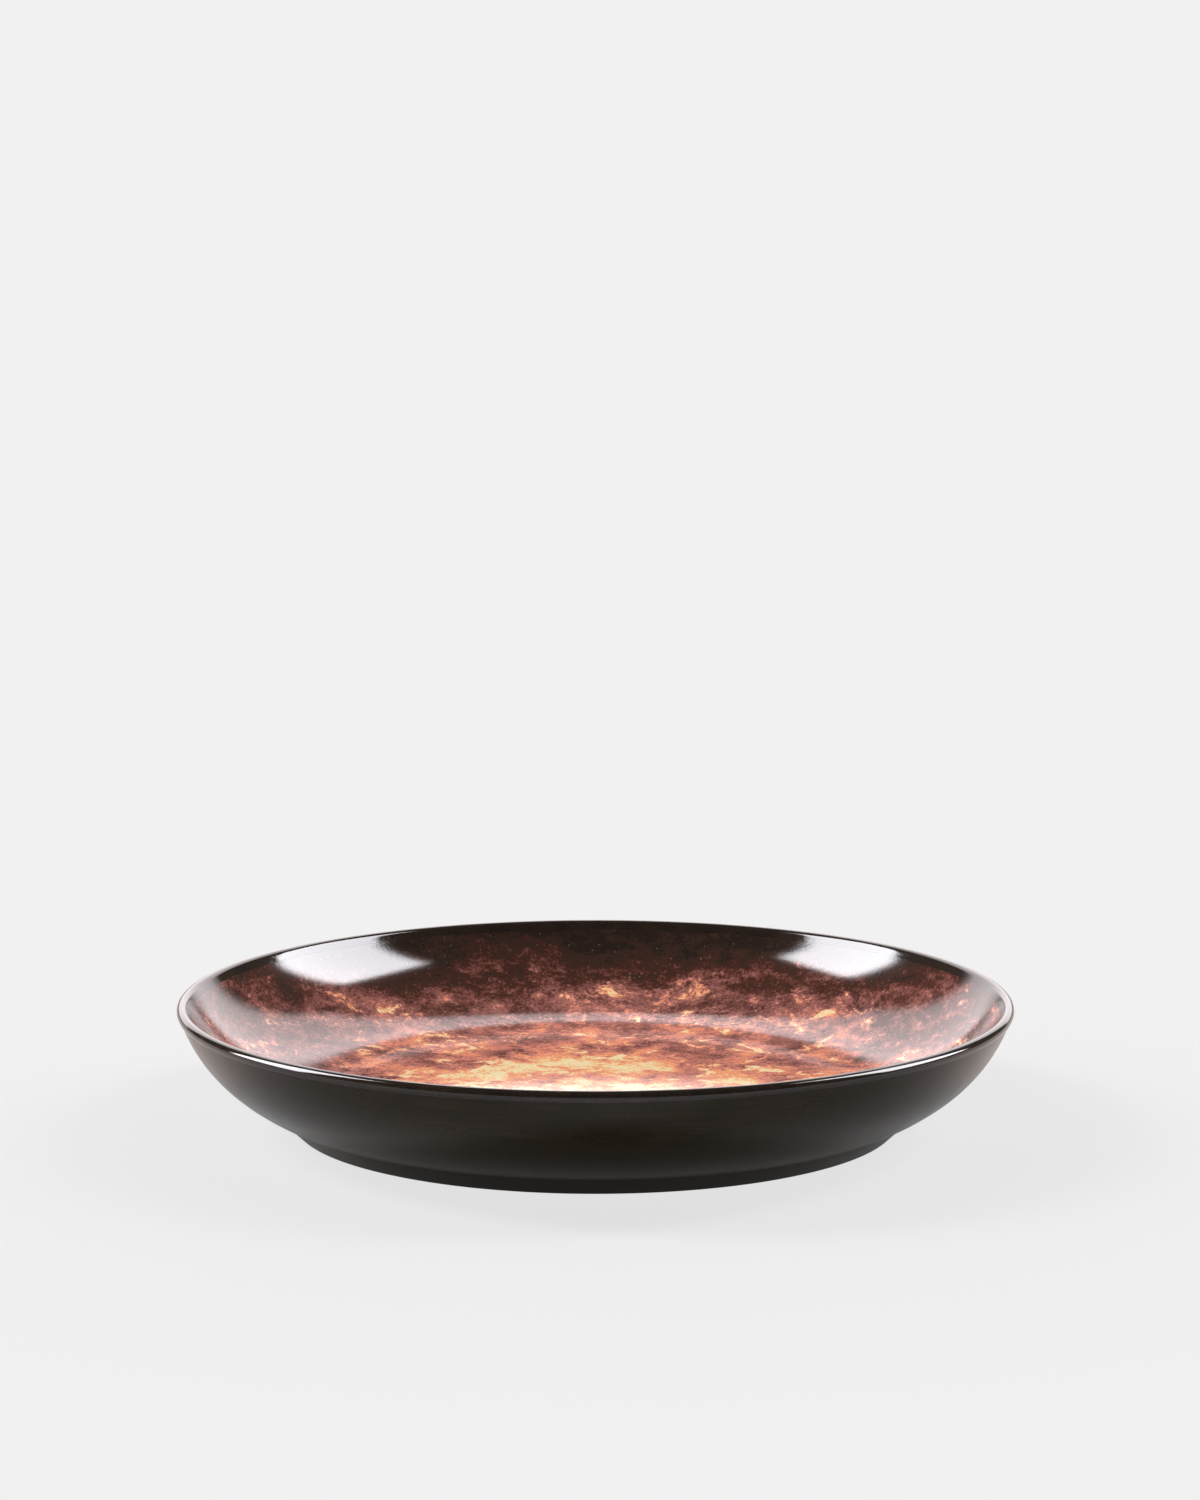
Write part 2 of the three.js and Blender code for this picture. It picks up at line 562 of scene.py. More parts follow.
class Finish(ABC):
    """A surface finish that builds one node material."""

    title: ClassVar[str]

    def material(self) -> bpy.types.Material:
        """Make the material.

        Returns:
            A material with its nodes in place.
        """
        made = blank_material(self.title)
        tree = made.node_tree
        place = add_node(tree, "ShaderNodeTexCoord").outputs["Object"]
        add_node(tree, "ShaderNodeOutputMaterial", {"Surface": self.shade(tree, place)})
        return made

    @abstractmethod
    def shade(self, tree: Tree, place: Socket) -> Node:
        """Add the finish's nodes.

        Args:
            tree: The material's tree.
            place: Object coordinates in metres.

        Returns:
            The node whose first output is the surface shader.
        """


@dataclass(frozen=True)
class BareStoneware(Finish):
    """Dark stoneware clay, wiped clean before firing: dry and matt, with grog specks and turning lines."""

    title: ClassVar[str] = "bare_stoneware"
    tones: Stops = ((0.3, "#2b241f"), (0.7, "#463b33"))
    grog: str = "#8d7f70"
    cloud_size: float = 9.0
    line_pitch: float = 0.7
    line_bend: float = 1.5
    grit_size: float = 0.6
    grit_height: float = 0.03
    grog_span: Span = (0.62, 0.7)
    roughness: float = 0.88

    def shade(self, tree: Tree, place: Socket) -> Node:
        """Add the clay's nodes.

        Args:
            tree: The material's tree.
            place: Object coordinates in metres.

        Returns:
            The surface shader.
        """
        cloud = add_node(
            tree, "ShaderNodeTexNoise", {"Vector": place, "Scale": per_metre(self.cloud_size), "Detail": 5.0}
        )
        ground = add_node(tree, "ShaderNodeValToRGB", {"Fac": cloud}, stops=self.tones)
        grit = add_node(
            tree, "ShaderNodeTexNoise", {"Vector": place, "Scale": per_metre(self.grit_size), "Detail": 3.0}
        )
        low, high = self.grog_span
        speck = add_node(tree, "ShaderNodeMapRange", {"Value": grit, "From Min": low, "From Max": high})
        colour = add_node(
            tree,
            "ShaderNodeMix",
            {MIX_FACTOR: speck, MIX_A: ground, MIX_B: linear(self.grog)},
            data_type="RGBA",
        )
        lines = add_node(
            tree,
            "ShaderNodeTexWave",
            {"Vector": place, "Scale": per_metre(self.line_pitch) / FULL_TURN, "Distortion": self.line_bend},
            wave_type="RINGS",
            rings_direction="Z",
        )
        rise = add_node(tree, "ShaderNodeMath", {0: grit, 1: lines.outputs[1]}, operation="ADD")
        bump = add_node(tree, "ShaderNodeBump", {"Height": rise, "Distance": self.grit_height * MM})
        return add_node(
            tree,
            "ShaderNodeBsdfPrincipled",
            {"Base Color": colour.outputs[MIX_RESULT], "Roughness": self.roughness, "Normal": bump},
        )


@dataclass(frozen=True)
class SatinGlaze(Finish):
    """Black satin glaze, sprayed on and fired: a soft sheen, faint turned streaks and some pale pinholes."""

    title: ClassVar[str] = "satin_black_glaze"
    tones: Stops = ((0.08, "#211a0c"), (0.46, "#302511"))
    pinhole: str = "#7d766b"
    cloud_size: float = 14.0
    streak_length: float = 30.0
    streak_pitch: float = 1.6
    streak_relief: float = 0.2
    pinhole_spacing: float = 6.0
    pinhole_size: float = 0.32
    grain_size: float = 0.7
    grain_height: float = 0.0015
    cloud_span: Span = (0.3, 0.7)
    sheen: Span = (0.17, 0.25)
    ior: float = 1.37

    def shade(self, tree: Tree, place: Socket) -> Node:
        """Add the satin glaze's nodes.

        Args:
            tree: The material's tree.
            place: Object coordinates in metres.

        Returns:
            The surface shader.
        """
        streak = self._streaks(tree, place)
        cloud = add_node(
            tree, "ShaderNodeTexNoise", {"Vector": place, "Scale": per_metre(self.cloud_size), "Detail": 4.0}
        )
        tone = add_node(tree, "ShaderNodeMath", {0: streak, 1: cloud}, operation="MULTIPLY")
        ground = add_node(tree, "ShaderNodeValToRGB", {"Fac": tone}, stops=self.tones)
        holes = scattered_spots(tree, place, self.pinhole_spacing, self.pinhole_size)
        colour = add_node(
            tree,
            "ShaderNodeMix",
            {MIX_FACTOR: holes, MIX_A: ground, MIX_B: linear(self.pinhole)},
            data_type="RGBA",
        )
        grain = add_node(
            tree, "ShaderNodeTexNoise", {"Vector": place, "Scale": per_metre(self.grain_size), "Detail": 2.0}
        )
        relief = add_node(
            tree, "ShaderNodeMath", {0: streak, 1: self.streak_relief, 2: grain}, operation="MULTIPLY_ADD"
        )
        bump = add_node(tree, "ShaderNodeBump", {"Height": relief, "Distance": self.grain_height * MM})
        sheen = add_node(
            tree,
            "ShaderNodeMapRange",
            {
                "Value": cloud,
                "From Min": self.cloud_span[0],
                "From Max": self.cloud_span[1],
                "To Min": self.sheen[0],
                "To Max": self.sheen[1],
            },
        )
        return add_node(
            tree,
            "ShaderNodeBsdfPrincipled",
            {
                "Base Color": colour.outputs[MIX_RESULT],
                "Roughness": sheen,
                "IOR": self.ior,
                "Normal": bump,
            },
        )

    def _streaks(self, tree: Tree, place: Socket) -> Node:
        """Add streaks that run round the axis.

        Args:
            tree: The material's tree.
            place: Object coordinates in metres.

        Returns:
            The node that gives the streaks' tone.
        """
        flat = add_node(tree, "ShaderNodeVectorMath", {0: place, 1: LEVEL}, operation="MULTIPLY")
        around = add_node(tree, "ShaderNodeVectorMath", {0: flat}, operation="NORMALIZE")
        reach = CAD_BOX[1].x / (self.streak_length * MM)
        turned = add_node(tree, "ShaderNodeVectorMath", {0: around, "Scale": reach}, operation="SCALE")
        radius = add_node(tree, "ShaderNodeVectorMath", {0: flat}, operation="LENGTH").outputs["Value"]
        height = add_node(tree, "ShaderNodeSeparateXYZ", {0: place}).outputs["Z"]
        along = add_node(tree, "ShaderNodeMath", {0: radius, 1: height}, operation="ADD")
        along = add_node(
            tree, "ShaderNodeMath", {0: along, 1: per_metre(self.streak_pitch)}, operation="MULTIPLY"
        )
        rise = add_node(tree, "ShaderNodeCombineXYZ", {"Z": along})
        path = add_node(tree, "ShaderNodeVectorMath", {0: turned, 1: rise}, operation="ADD")
        return add_node(tree, "ShaderNodeTexNoise", {"Vector": path, "Scale": 1.0, "Detail": 3.0})


@dataclass(frozen=True)
class GlossRimGlaze(Finish):
    """Black-brown gloss glaze, pooled over the lip: wet, near black, slightly waved, with tiny bubbles."""

    title: ClassVar[str] = "gloss_rim_glaze"
    tones: Stops = ((0.35, "#261c14"), (0.75, "#35281d"))
    cloud_size: float = 7.0
    wave_size: float = 5.0
    wave_height: float = 0.02
    wave_detail: float = 1.0
    bubble_size: float = 0.8
    bubble_span: Span = (0.5, 0.75)
    gloss: Span = (0.07, 0.15)
    ior: float = 1.54

    def shade(self, tree: Tree, place: Socket) -> Node:
        """Add the rim glaze's nodes.

        Args:
            tree: The material's tree.
            place: Object coordinates in metres.

        Returns:
            The surface shader.
        """
        cloud = add_node(
            tree, "ShaderNodeTexNoise", {"Vector": place, "Scale": per_metre(self.cloud_size), "Detail": 5.0}
        )
        colour = add_node(tree, "ShaderNodeValToRGB", {"Fac": cloud}, stops=self.tones)
        bubble = add_node(
            tree,
            "ShaderNodeTexNoise",
            {"Vector": place, "Scale": per_metre(self.bubble_size), "Detail": 2.0},
        )
        gloss = add_node(
            tree,
            "ShaderNodeMapRange",
            {
                "Value": bubble,
                "From Min": self.bubble_span[0],
                "From Max": self.bubble_span[1],
                "To Min": self.gloss[0],
                "To Max": self.gloss[1],
            },
        )
        wave = uneven_face(tree, place, self.wave_size, self.wave_height, self.wave_detail)
        return add_node(
            tree,
            "ShaderNodeBsdfPrincipled",
            {"Base Color": colour, "Roughness": gloss, "IOR": self.ior, "Normal": wave},
        )


@dataclass(frozen=True)
class MottledColour:
    """The inside's colours: an amber pool that runs through rust into black-brown towards the lip.

    Sizes are in millimetres. Tones run from 0, black-brown, to 1, cream, and the ground's tone follows the
    radius. The wall begins and ends at shares of the last radius. Specks are drawn coarser than real ones,
    so that they show.
    """

    ramp: Stops = (
        (0.00, "#2e2219"),
        (0.10, "#38291e"),
        (0.20, "#442e23"),
        (0.30, "#4a2b21"),
        (0.40, "#683c31"),
        (0.50, "#8a564d"),
        (0.62, "#aa6c60"),
        (0.72, "#da8b77"),
        (0.82, "#fb9b76"),
        (0.91, "#ffb378"),
        (0.96, "#ffcf92"),
        (1.00, "#ffe9b4"),
    )
    ground: Sequence[tuple[float, float]] = (
        (0.0, 0.93),
        (28.0, 0.905),
        (44.0, 0.855),
        (56.0, 0.745),
        (66.0, 0.66),
        (84.0, 0.63),
        (98.0, 0.56),
        (107.0, 0.51),
        (113.5, 0.395),
        (118.0, 0.29),
        (121.0, 0.16),
        (126.0, 0.08),
    )
    speck: str = "#a8967f"
    drift_size: float = 22.0
    drift: float = 7.0
    patch_size: float = 20.0
    curd_size: float = 4.6
    run_width: float = 2.2
    run_length: float = 26.0
    grain_size: float = 0.9
    stroke_size: float = 15.0
    stroke_patch: float = 13.0
    wisp_size: float = 9.0
    speck_spacing: float = 2.0
    speck_size: float = 0.36
    flatness: float = 2.2
    pool_centre: Point = (1.0, -12.0)
    wall_span: Span = (0.66, 0.84)

    # How far each pattern shifts the tone
    patch_share: float = 0.32
    wall_patch_share: float = 0.27
    curd_share: float = 0.9
    run_share: float = 0.05
    grain_share: float = 0.5
    wisp_share: float = 0.46
    stroke_share: float = 0.3

    # Where in its noise each pattern starts and is full
    patch_span: Span = (0.36, 0.64)
    wisp_span: Span = (0.565, 0.65)
    stroke_span: Span = (0.5, 0.6)
    stroke_width: float = 0.03
    warm_span: Span = (0.38, 0.68)

    @property
    def reach(self) -> float:
        """Radius in metres at which the ground's tones end."""
        return self.ground[-1][0] * MM

    def colour(self, tree: Tree, place: Socket) -> Socket:
        """Add the colour's nodes.

        Args:
            tree: The material's tree.
            place: Object coordinates in metres.

        Returns:
            The colour output.
        """
        moved = self._drifted(tree, place)
        across, depth = self.pool_centre
        flat = add_node(
            tree,
            "ShaderNodeVectorMath",
            {0: moved, 1: LEVEL, 2: (-across * MM, -depth * MM, 0.0)},
            operation="MULTIPLY_ADD",
        )
        flowed = add_node(
            tree, "ShaderNodeVectorMath", {0: moved, 1: (1.0, 1.0, self.flatness)}, operation="MULTIPLY"
        )
        radius = add_node(tree, "ShaderNodeVectorMath", {0: flat}, operation="LENGTH").outputs["Value"]
        share = add_node(tree, "ShaderNodeMapRange", {"Value": radius, "From Max": self.reach})
        start, end = self.wall_span
        patch_weight, run_weight = (
            add_node(
                tree,
                "ShaderNodeMapRange",
                {"Value": share, "From Min": start, "From Max": end, "To Min": inside, "To Max": outside},
            )
            for inside, outside in ((self.patch_share, self.wall_patch_share), (0.0, self.run_share))
        )
        curds = add_node(
            tree,
            "ShaderNodeTexNoise",
            {"Vector": flowed, "Scale": per_metre(self.curd_size), "Detail": 9.0, "Roughness": 0.76},
        )
        grain = add_node(
            tree, "ShaderNodeTexNoise", {"Vector": place, "Scale": per_metre(self.grain_size), "Detail": 2.0}
        )
        heat = self._ground_tone(tree, share)
        for pattern, weight in (
            (self._patches(tree, flowed), patch_weight),
            (curds, self.curd_share),
            (self._runs(tree, flat, radius), run_weight),
            (grain, self.grain_share),
        ):
            swing = add_node(tree, "ShaderNodeMath", {0: pattern, 1: NOISE_MIDDLE}, operation="SUBTRACT")
            heat = add_node(tree, "ShaderNodeMath", {0: swing, 1: weight, 2: heat}, operation="MULTIPLY_ADD")
        heat = self._wisps(tree, flowed, heat)
        colour = add_node(tree, "ShaderNodeValToRGB", {"Fac": heat}, stops=self.ramp)
        specks = scattered_spots(tree, place, self.speck_spacing, self.speck_size)
        mixed = add_node(
            tree,
            "ShaderNodeMix",
            {MIX_FACTOR: specks, MIX_A: colour, MIX_B: linear(self.speck)},
            data_type="RGBA",
        )
        return mixed.outputs[MIX_RESULT]

    def _drifted(self, tree: Tree, place: Socket) -> Node:
        """Add coordinates that drift with the flow of the glaze.

        Args:
            tree: The material's tree.
            place: Object coordinates in metres.

        Returns:
            The node that gives the coordinates.
        """
        drift = add_node(
            tree, "ShaderNodeTexNoise", {"Vector": place, "Scale": per_metre(self.drift_size), "Detail": 3.0}
        )
        pull = add_node(
            tree,
            "ShaderNodeVectorMath",
            {0: drift.outputs[1], 1: (NOISE_MIDDLE,) * 3},
            operation="SUBTRACT",
        )
        return add_node(
            tree,
            "ShaderNodeVectorMath",
            {0: pull, 1: (self.drift * MM,) * 3, 2: place},
            operation="MULTIPLY_ADD",
        )

    def _ground_tone(self, tree: Tree, share: Node) -> Node:
        """Add the tone that follows the radius.

        Args:
            tree: The material's tree.
            share: Radius as a share of the reach.

        Returns:
            The node that gives the tone.
        """
        tone = add_node(tree, "ShaderNodeFloatCurve", {"Value": share})
        points = tone.mapping.curves[0].points
        for number, (radius, value) in enumerate(self.ground):
            place = (radius * MM / self.reach, value)
            point = points[number] if number < len(points) else points.new(*place)
            point.location = place
        tone.mapping.update()
        return tone

    def _patches(self, tree: Tree, flowed: Node) -> Node:
        """Add broad clouds of lighter and darker tone.

        Args:
            tree: The material's tree.
            flowed: Coordinates that drift with the glaze.

        Returns:
            The node that gives the clouds.
        """
        clouds = add_node(
            tree,
            "ShaderNodeTexNoise",
            {"Vector": flowed, "Scale": per_metre(self.patch_size), "Detail": 7.0, "Roughness": 0.6},
        )
        low, high = self.patch_span
        return add_node(
            tree,
            "ShaderNodeMapRange",
            {"Value": clouds, "From Min": low, "From Max": high},
            interpolation_type="SMOOTHSTEP",
        )

    def _runs(self, tree: Tree, flat: Node, radius: Socket) -> Node:
        """Add thin runs of glaze down the wall, towards the pool.

        Args:
            tree: The material's tree.
            flat: Level coordinates from the pool's centre.
            radius: Distance from that centre in metres.

        Returns:
            The node that gives the runs.
        """
        around = add_node(tree, "ShaderNodeVectorMath", {0: flat}, operation="NORMALIZE")
        along = add_node(
            tree, "ShaderNodeMath", {0: radius, 1: per_metre(self.run_length)}, operation="MULTIPLY"
        )
        along = add_node(tree, "ShaderNodeCombineXYZ", {"Z": along})
        path = add_node(
            tree,
            "ShaderNodeVectorMath",
            {0: around, 1: (self.reach * per_metre(self.run_width),) * 3, 2: along},
            operation="MULTIPLY_ADD",
        )
        return add_node(tree, "ShaderNodeTexNoise", {"Vector": path, "Scale": 1.0, "Detail": 3.0})

    def _wisps(self, tree: Tree, flowed: Node, heat: Node) -> Node:
        """Add the pale wisps and fine strokes, as hotter tones where the ground is warm.

        Args:
            tree: The material's tree.
            flowed: Coordinates that drift with the glaze.
            heat: Tone of the ground.

        Returns:
            The node that gives the tone with the wisps.
        """
        low, high = self.warm_span
        warm = add_node(tree, "ShaderNodeMapRange", {"Value": heat, "From Min": low, "From Max": high})
        clots = add_node(
            tree,
            "ShaderNodeTexNoise",
            {
                "Vector": flowed,
                "Scale": per_metre(self.wisp_size),
                "Detail": 8.0,
                "Roughness": 0.62,
                "Distortion": 0.9,
            },
        )
        low, high = self.wisp_span
        wisp = add_node(
            tree,
            "ShaderNodeMapRange",
            {"Value": clots, "From Min": low, "From Max": high, "To Max": self.wisp_share},
        )
        bends = add_node(
            tree,
            "ShaderNodeTexNoise",
            {"Vector": flowed, "Scale": per_metre(self.stroke_size), "Detail": 5.0, "Roughness": 0.45},
        )
        ridge = add_node(tree, "ShaderNodeMath", {0: bends, 1: NOISE_MIDDLE}, operation="SUBTRACT")
        ridge = add_node(tree, "ShaderNodeMath", {0: ridge}, operation="ABSOLUTE")
        stroke = add_node(
            tree,
            "ShaderNodeMapRange",
            {"Value": ridge, "From Max": self.stroke_width, "To Min": self.stroke_share, "To Max": 0.0},
        )
        gather = add_node(
            tree,
            "ShaderNodeTexNoise",
            {"Vector": flowed, "Scale": per_metre(self.stroke_patch), "Detail": 4.0},
        )
        low, high = self.stroke_span
        where = add_node(tree, "ShaderNodeMapRange", {"Value": gather, "From Min": low, "From Max": high})
        lift = add_node(tree, "ShaderNodeMath", {0: stroke, 1: where, 2: wisp}, operation="MULTIPLY_ADD")
        return add_node(tree, "ShaderNodeMath", {0: lift, 1: warm, 2: heat}, operation="MULTIPLY_ADD")


@dataclass(frozen=True)
class MottledSlip(Finish):
    """Coloured slip, sponged over the clay under the glaze: chalky, mottled and grainy."""

    title: ClassVar[str] = "mottled_slip"
    pattern: MottledColour = field(default_factory=MottledColour)
    grain_size: float = 0.8
    grain_height: float = 0.01
    roughness: float = 0.75

    def shade(self, tree: Tree, place: Socket) -> Node:
        """Add the slip's nodes.

        Args:
            tree: The material's tree.
            place: Object coordinates in metres.

        Returns:
            The surface shader.
        """
        return add_node(
            tree,
            "ShaderNodeBsdfPrincipled",
            {
                "Base Color": self.pattern.colour(tree, place),
                "Roughness": self.roughness,
                "Normal": uneven_face(tree, place, self.grain_size, self.grain_height),
            },
        )


@dataclass(frozen=True)
class ClearGlossGlaze(Finish):
    """Clear gloss glaze, fired over coloured slip: the slip's colours under a wet shine with orange peel.

    The coat is drawn solid in the colours that show through it, so light reaches them at full strength.
    """

    title: ClassVar[str] = "clear_gloss_glaze"
    pattern: MottledColour = field(default_factory=MottledColour)
    peel_size: float = 0.45
    peel_height: float = 0.012
    gloss: float = 0.08
    ior: float = 1.55

    def shade(self, tree: Tree, place: Socket) -> Node:
        """Add the clear glaze's nodes.

        Args:
            tree: The material's tree.
            place: Object coordinates in metres.

        Returns:
            The surface shader.
        """
        return add_node(
            tree,
            "ShaderNodeBsdfPrincipled",
            {
                "Base Color": self.pattern.colour(tree, place),
                "Roughness": self.gloss,
                "IOR": self.ior,
                "Normal": uneven_face(tree, place, self.peel_size, self.peel_height),
            },
        )


# Turned pieces


@dataclass
class Wheel:
    """The turning of a section about the axis, as a geometry node tree; sizes in millimetres."""

    segments: int = 256
    sharp_angle: float = math.radians(40)
    weld: float = 0.001
    doubles: float = 0.0005
    seed: float = 7.0
    tree: Tree = field(init=False)
    sockets: dict[str, str] = field(init=False)

    SHOWN: ClassVar[str] = "shown"

    def __post_init__(self) -> None:
        """Build the tree once, for every piece to share."""
        self.tree = bpy.data.node_groups.new("turned_section", "GeometryNodeTree")
        self.sockets = {}
        for name, kind in (
            ("Section", "NodeSocketGeometry"),
            ("Segments", "NodeSocketInt"),
            ("Wave Height", "NodeSocketFloat"),
            ("Wave Length", "NodeSocketFloat"),
            ("Seed", "NodeSocketFloat"),
            ("Sharp Angle", "NodeSocketFloat"),
            ("Weld", "NodeSocketFloat"),
            ("Finish", "NodeSocketMaterial"),
        ):
            socket = self.tree.interface.new_socket(name, in_out="INPUT", socket_type=kind)
            self.sockets[name] = socket.identifier
        self.tree.interface.new_socket("Piece", in_out="OUTPUT", socket_type="NodeSocketGeometry")
        given = add_node(self.tree, "NodeGroupInput")
        self._dress(given, self._wave(given, self._wrap(given)))

    def _wrap(self, given: Node) -> Node:
        """Add the nodes that wrap a sheet round the axis along the section, and weld it.

        Args:
            given: The tree's inputs.

        Returns:
            The node that gives the welded sheet.
        """
        tree, section, segments = self.tree, given.outputs["Section"], given.outputs["Segments"]
        size = add_node(tree, "GeometryNodeAttributeDomainSize", {0: section}, component="MESH")
        count = size.outputs["Point Count"]
        columns = add_node(tree, "FunctionNodeIntegerMath", {0: segments, 1: 1}, operation="ADD")
        sheet = add_node(tree, "GeometryNodeMeshGrid", {"Vertices X": columns, "Vertices Y": count})
        index = add_node(tree, "GeometryNodeInputIndex")
        column = add_node(tree, "FunctionNodeIntegerMath", {0: index, 1: count}, operation="DIVIDE_FLOOR")
        row = add_node(tree, "FunctionNodeIntegerMath", {0: index, 1: count}, operation="MODULO")
        step = add_node(tree, "ShaderNodeMath", {0: FULL_TURN, 1: segments}, operation="DIVIDE")
        angle = add_node(tree, "ShaderNodeMath", {0: column, 1: step}, operation="MULTIPLY")
        position = add_node(tree, "GeometryNodeInputPosition")
        mark = add_node(tree, "GeometryNodeInputNamedAttribute", {"Name": self.SHOWN}, data_type="FLOAT")
        at, shown = (
            add_node(
                tree,
                "GeometryNodeSampleIndex",
                {"Geometry": section, "Value": value, "Index": row},
                data_type=kind,
                domain="POINT",
            )
            for value, kind in ((position, "FLOAT_VECTOR"), (mark, "FLOAT"))
        )
        turned = add_node(
            tree, "ShaderNodeVectorRotate", {"Vector": at, "Angle": angle}, rotation_type="Z_AXIS"
        )
        wrapped = add_node(tree, "GeometryNodeSetPosition", {"Geometry": sheet, "Position": turned})
        marked = add_node(
            tree,
            "GeometryNodeStoreNamedAttribute",
            {"Geometry": wrapped, "Name": self.SHOWN, "Value": shown},
            data_type="FLOAT",
            domain="POINT",
        )
        weld = given.outputs["Weld"]
        return add_node(tree, "GeometryNodeMergeByDistance", {"Geometry": marked, "Distance": weld})

    def _wave(self, given: Node, welded: Node) -> Node:
        """Add the nodes that give the shown face a slow wave.

        Args:
            given: The tree's inputs.
            welded: The sheet.

        Returns:
            The node that gives the waved sheet.
        """
        tree, inputs = self.tree, given.outputs
        position = add_node(tree, "GeometryNodeInputPosition")
        mark = add_node(tree, "GeometryNodeInputNamedAttribute", {"Name": self.SHOWN}, data_type="FLOAT")
        rate = add_node(tree, "ShaderNodeMath", {0: 1.0, 1: inputs["Wave Length"]}, operation="DIVIDE")
        noise = add_node(
            tree,
            "ShaderNodeTexNoise",
            {"Vector": position, "W": inputs["Seed"], "Scale": rate, "Detail": 1.0},
            noise_dimensions="4D",
        )
        swing = add_node(tree, "ShaderNodeMath", {0: noise, 1: NOISE_MIDDLE}, operation="SUBTRACT")
        height = add_node(tree, "ShaderNodeMath", {0: swing, 1: inputs["Wave Height"]}, operation="MULTIPLY")
        height = add_node(tree, "ShaderNodeMath", {0: height, 1: mark}, operation="MULTIPLY")
        normal = add_node(tree, "GeometryNodeInputNormal")
        lift = add_node(tree, "ShaderNodeVectorMath", {0: normal, "Scale": height}, operation="SCALE")
        return add_node(tree, "GeometryNodeSetPosition", {"Geometry": welded, "Offset": lift})

    def _dress(self, given: Node, waved: Node) -> None:
        """Add the nodes that smooth the sheet between its sharp edges and give it its finish.

        Args:
            given: The tree's inputs.
            waved: The sheet.
        """
        tree, inputs = self.tree, given.outputs
        smooth = add_node(
            tree, "GeometryNodeSetShadeSmooth", {0: waved, "Shade Smooth": True}, domain="FACE"
        )
        bend = add_node(tree, "GeometryNodeInputMeshEdgeAngle")
        sharp = add_node(
            tree, "ShaderNodeMath", {0: bend, 1: inputs["Sharp Angle"]}, operation="GREATER_THAN"
        )
        creased = add_node(
            tree,
            "GeometryNodeSetShadeSmooth",
            {0: smooth, "Selection": sharp, "Shade Smooth": False},
            domain="EDGE",
        )
        cleared = add_node(tree, "GeometryNodeRemoveAttribute", {"Geometry": creased, "Name": self.SHOWN})
        real = add_node(tree, "GeometryNodeRealizeInstances", {0: cleared})
        dressed = add_node(tree, "GeometryNodeSetMaterial", {"Geometry": real, "Material": inputs["Finish"]})
        add_node(tree, "NodeGroupOutput", {0: dressed})

    def turn(
        self, name: str, section: Section, wave: tuple[float, float], finish: bpy.types.Material
    ) -> bpy.types.Object:
        """Turn a section into a closed piece.

        Args:
            name: Name of the piece.
            section: Its outline in millimetres.
            wave: Height and length in millimetres of the slow wave on its shown face.
            finish: Its material.

        Returns:
            A mesh object at the origin.
        """
        outline = bpy.data.meshes.new(name)
        corners = [(r * MM, 0.0, z * MM) for r, z in section.points]
        outline.from_pydata(corners, [(i, i + 1) for i in range(len(corners) - 1)], [])
        mark = outline.attributes.new(self.SHOWN, "FLOAT", "POINT")
        mark.data.foreach_set("value", [float(i < section.shown) for i in range(len(corners))])
        piece = put_in_scene(name, outline)
        modifier = piece.modifiers.new("turned", "NODES")
        modifier.node_group = self.tree
        values = {
            "Segments": self.segments,
            "Wave Height": wave[0] * MM,
            "Wave Length": wave[1] * MM,
            "Seed": self.seed,
            "Sharp Angle": self.sharp_angle,
            "Weld": self.weld * MM,
            "Finish": finish,
        }
        for socket, value in values.items():
            modifier[self.sockets[socket]] = value
        graph = bpy.context.evaluated_depsgraph_get()
        made = bpy.data.meshes.new_from_object(
            piece.evaluated_get(graph), preserve_all_data_layers=True, depsgraph=graph
        )
        piece.modifiers.clear()
        piece.data = made
        bpy.data.meshes.remove(outline)
        made.name = name
        self._face_outwards(made)
        return piece

    def _face_outwards(self, mesh: bpy.types.Mesh) -> None:
        """Close any doubles that are left and turn every face outwards.

        Args:
            mesh: Mesh of a turned piece.
        """
        shape = bmesh.new()
        shape.from_mesh(mesh)
        bmesh.ops.remove_doubles(shape, verts=shape.verts, dist=self.doubles * MM)
        bmesh.ops.recalc_face_normals(shape, faces=shape.faces)
        shape.to_mesh(mesh)
        shape.free()


@dataclass
class TurnedPiece(ABC):
    """One piece of the plate: a section turned about the axis, in the place of a solid node."""

    form: PlateForm
    finish: Finish
    name: str
    node: str
    slot: str
    wave_height: float = 0.0
    wave_length: float = 14.0

    @abstractmethod
    def section(self) -> Section:
        """Outline of the piece, shown face first."""

    def build(self, wheel: Wheel) -> bpy.types.Object:
        """Turn the piece, dress it and tie it to the frame.

        Args:
            wheel: The turning tree.

        Returns:
            The finished piece.
        """
        wave = (self.wave_height, self.wave_length)
        piece = wheel.turn(self.name, self.section(), wave, self.finish.material())
        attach(piece, BODY)
        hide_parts(self.node)
        return piece


@dataclass
class ClayBody(TurnedPiece):
    """The fired clay under all the coats, bare on the foot's land."""

    def section(self) -> Section:
        """Draw the whole clay body.

        Returns:
            The outline, from the axis and back to it.
        """
        form = self.form
        outer_slope = math.radians(form.foot_outer_slope)
        inner_slope = -math.radians(form.foot_inner_slope)
        line = form.inside_line(0.0, form.rim_run_inside)
        line += form.lip_line(0.0, form.rim_run_outside)[1:]
        line += form.outside_line(0.0, form.rim_run_outside)[1:]
        line += arc_line(form.outer_edge, form.foot_edge, outer_slope, 0.0, form.round_steps)
        line += arc_line(form.inner_edge, form.foot_edge, 0.0, inner_slope, form.round_steps)
        line += form.base_line(0.0)[::-1]
        return Section(line, 0)


